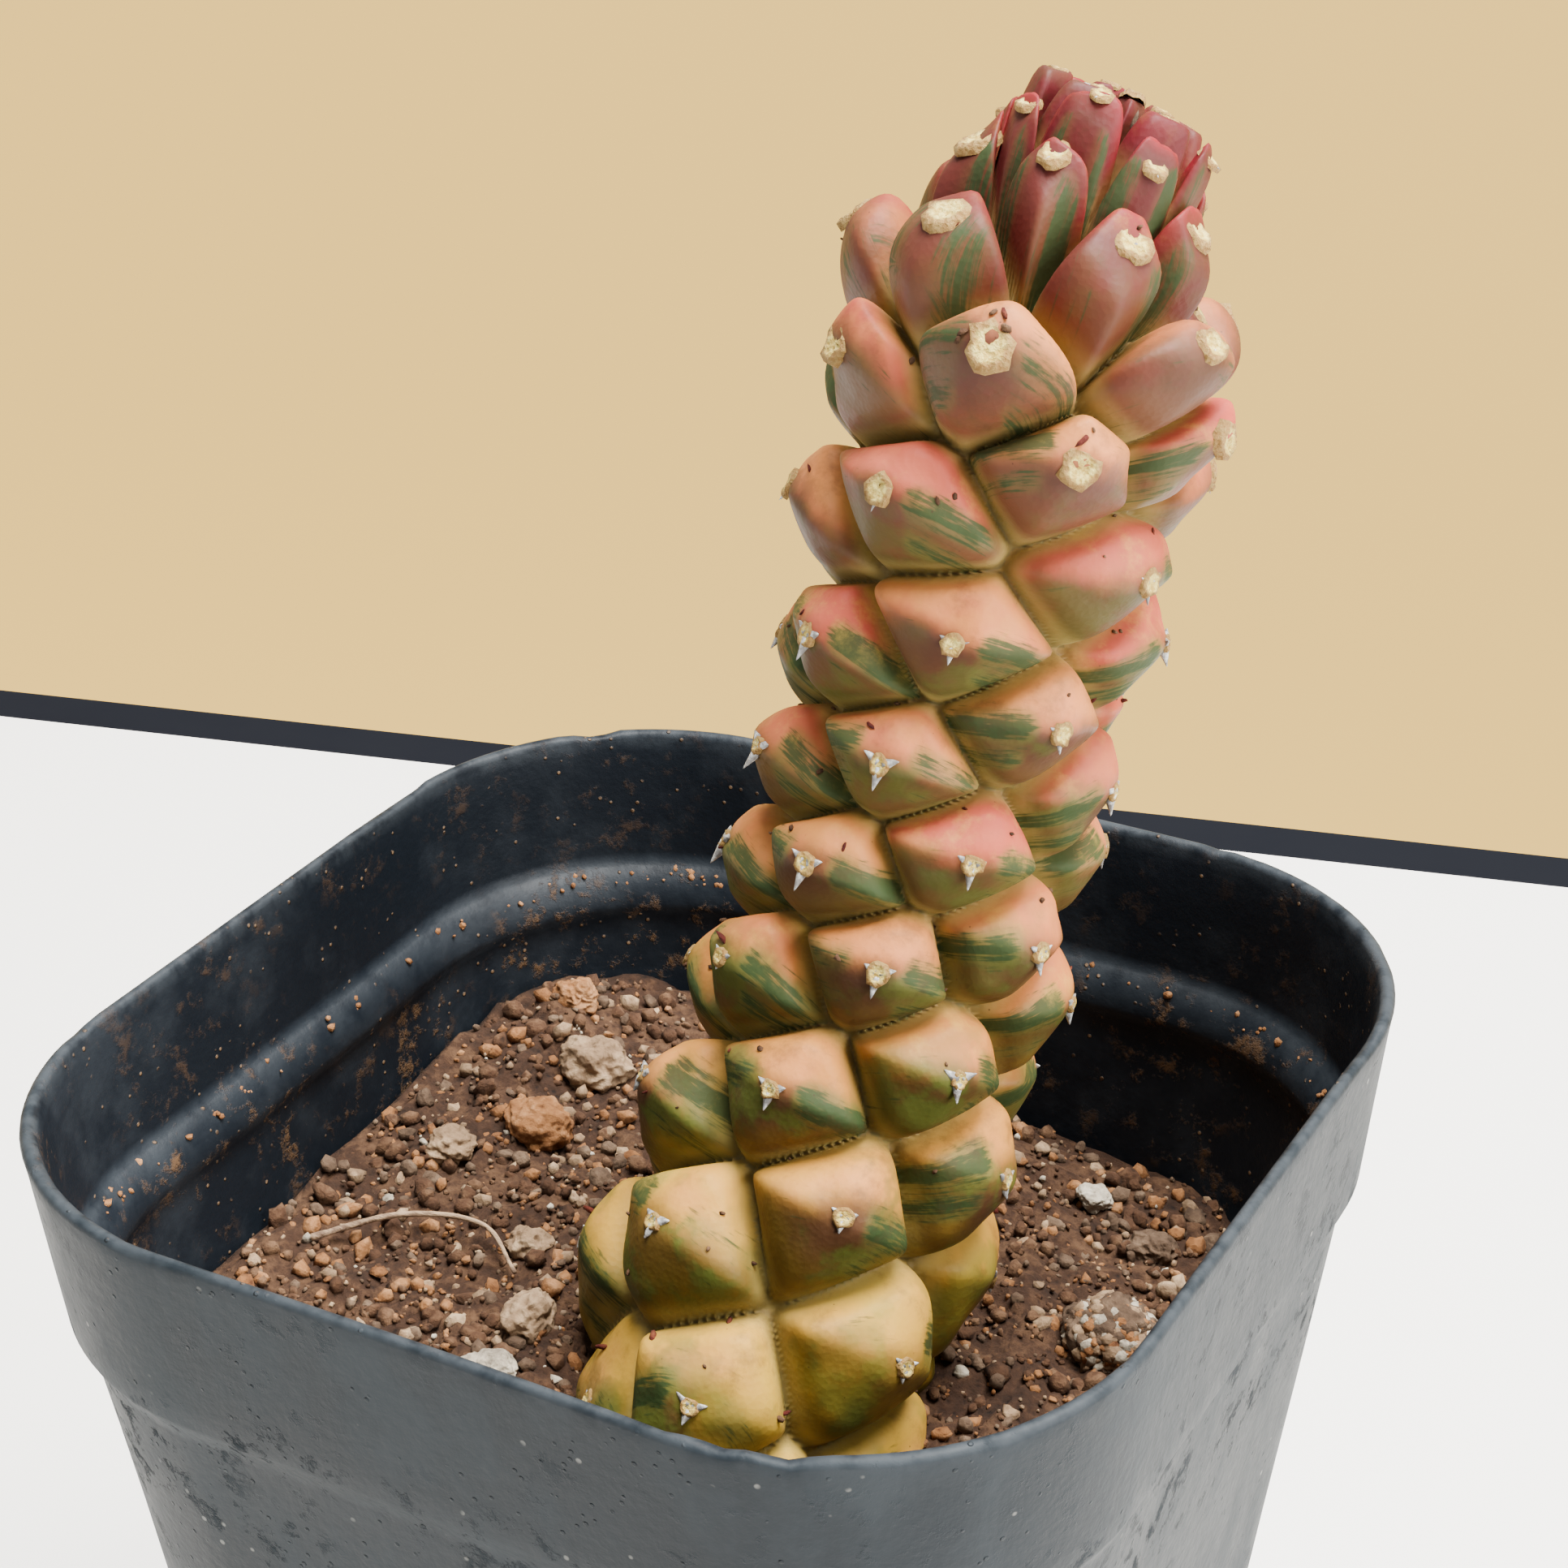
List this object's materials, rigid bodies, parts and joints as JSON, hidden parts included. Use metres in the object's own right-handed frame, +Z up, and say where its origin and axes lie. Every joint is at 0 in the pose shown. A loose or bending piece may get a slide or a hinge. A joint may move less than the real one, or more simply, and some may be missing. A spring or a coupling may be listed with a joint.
{
  "type": "potted succulent",
  "caption": "Variegated tubercled euphorbia stem leaning out of gritty soil in a square black nursery pot.",
  "frame": {"origin": "middle of the pot's flat underside, straight under the middle of its rim", "axes": "+Z up; +X and +Y along the pot's sides"},
  "size_m": [0.07, 0.07, 0.1356],
  "materials": {
    "pot_plastic": "matt charcoal plastic, scuffed and dusty",
    "potting_soil": "brown peat and fine grit",
    "stem_flesh": "waxy green, peach and coral skin with pale leaf scars",
    "pale_stone": "rough tan grit",
    "rusty_stone": "rough orange baked clay",
    "white_stone": "porous off-white perlite",
    "dark_stone": "dull brown grit",
    "dry_root": "dry brown rootlet"
  },
  "bodies": {
    "root": {"pot": "pot_plastic", "soil": "potting_soil", "stem": "stem_flesh", "stone_pumice": "pale_stone", "stone_clay": "rusty_stone", "stone_tan": "pale_stone", "stone_back": "rusty_stone", "stone_pink": "pale_stone", "stone_cream": "pale_stone", "stone_perlite": "white_stone", "stone_front": "pale_stone", "stone_white": "white_stone", "stone_grey": "dark_stone", "stone_brown": "dark_stone", "stone_pale": "white_stone", "grit_clod": "potting_soil", "twig": "dry_root"}
  },
  "joints": []
}
